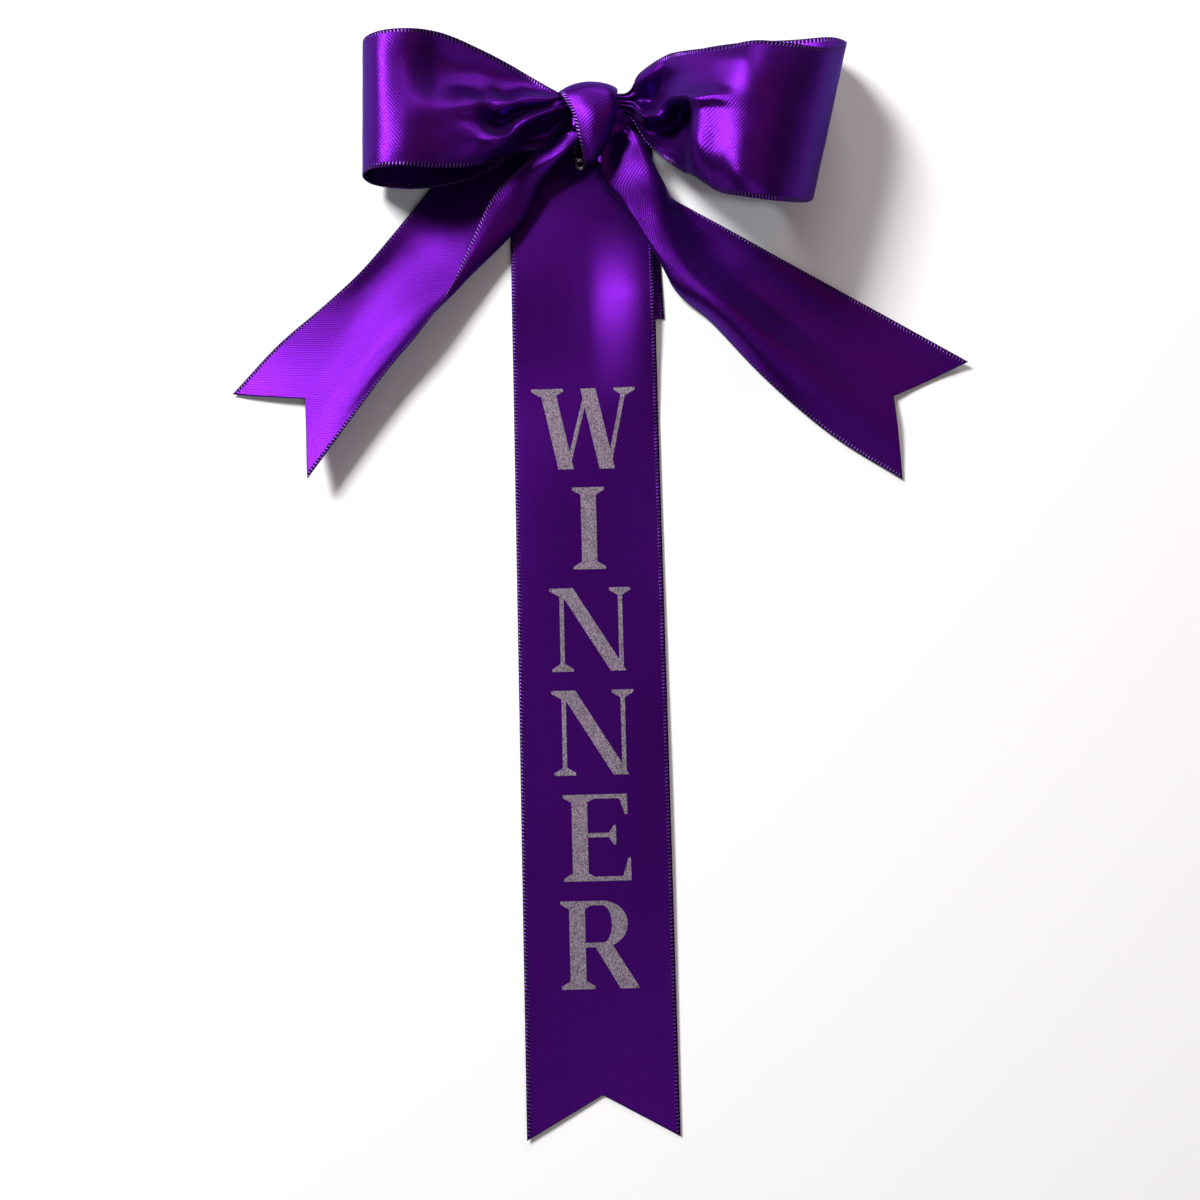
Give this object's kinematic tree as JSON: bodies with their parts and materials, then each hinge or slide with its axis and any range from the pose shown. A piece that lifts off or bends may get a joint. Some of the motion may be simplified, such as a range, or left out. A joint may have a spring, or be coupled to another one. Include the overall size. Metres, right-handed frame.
{
  "type": "award ribbon",
  "caption": "Tied satin bow with two swallow-tailed ends, pinned on a long straight streamer with raised vinyl letters down its front.",
  "frame": {"origin": "on the surface that the ribbon lies on, under the knot", "axes": "+Z out of the front, +X to the right of the front, -Y down the streamer"},
  "size_m": [0.194, 0.2827, 0.04],
  "materials": {
    "satin": "double-face satin",
    "vinyl": "fine glitter",
    "steel": "polished"
  },
  "bodies": {
    "streamer_top": {"streamer_front": "satin", "streamer_fold": "satin", "pin_back": "steel", "pin_cap": "steel"},
    "streamer_end": {"streamer_lower": "satin", "letter_1_w": "vinyl", "letter_2_i": "vinyl", "letter_3_n": "vinyl", "letter_4_n": "vinyl", "letter_5_e": "vinyl", "letter_6_r": "vinyl"},
    "pin_point": {"pin_arm": "steel"},
    "bow_knot": {"knot_wrap": "satin", "knot_core": "satin"},
    "loop_left": {"left_loop": "satin"},
    "loop_right": {"right_loop": "satin"},
    "tail_left": {"left_tail": "satin"},
    "tail_right": {"right_tail": "satin"}
  },
  "joints": [
    {"name": "bow_turn", "type": "hinge", "parent": "streamer_top", "child": "bow_knot", "pos_m": [-0.0054, -0.008, 0.002], "axis": [0, 0, 1], "range_deg": [-7, 7]},
    {"name": "left_loop_lift", "type": "hinge", "parent": "bow_knot", "child": "loop_left", "pos_m": [-0.01159, 0.00051, 0.008], "axis": [0.0436, 0.999, 0], "range_deg": [0, 25]},
    {"name": "right_loop_lift", "type": "hinge", "parent": "bow_knot", "child": "loop_right", "pos_m": [0.00884, 0.00178, 0.008], "axis": [-0.1908, -0.9816, 0], "range_deg": [0, 25]},
    {"name": "left_tail_swing", "type": "hinge", "parent": "bow_knot", "child": "tail_left", "pos_m": [-0.002, -0.004, 0.0015], "axis": [0, 0, 1], "range_deg": [-7, 7]},
    {"name": "right_tail_swing", "type": "hinge", "parent": "bow_knot", "child": "tail_right", "pos_m": [-0.002, -0.004, 0.0015], "axis": [0, 0, 1], "range_deg": [-7, 7]},
    {"name": "streamer_lift", "type": "hinge", "parent": "streamer_top", "child": "streamer_end", "pos_m": [-0.00403, -0.06198, 0.0005], "axis": [-0.9997, -0.0253, 0], "range_deg": [0, 110]},
    {"name": "pin_open", "type": "hinge", "parent": "streamer_top", "child": "pin_point", "pos_m": [-0.0054, -0.008, 0.00225], "axis": [0, 0, -1], "range_deg": [0, 30]}
  ]
}
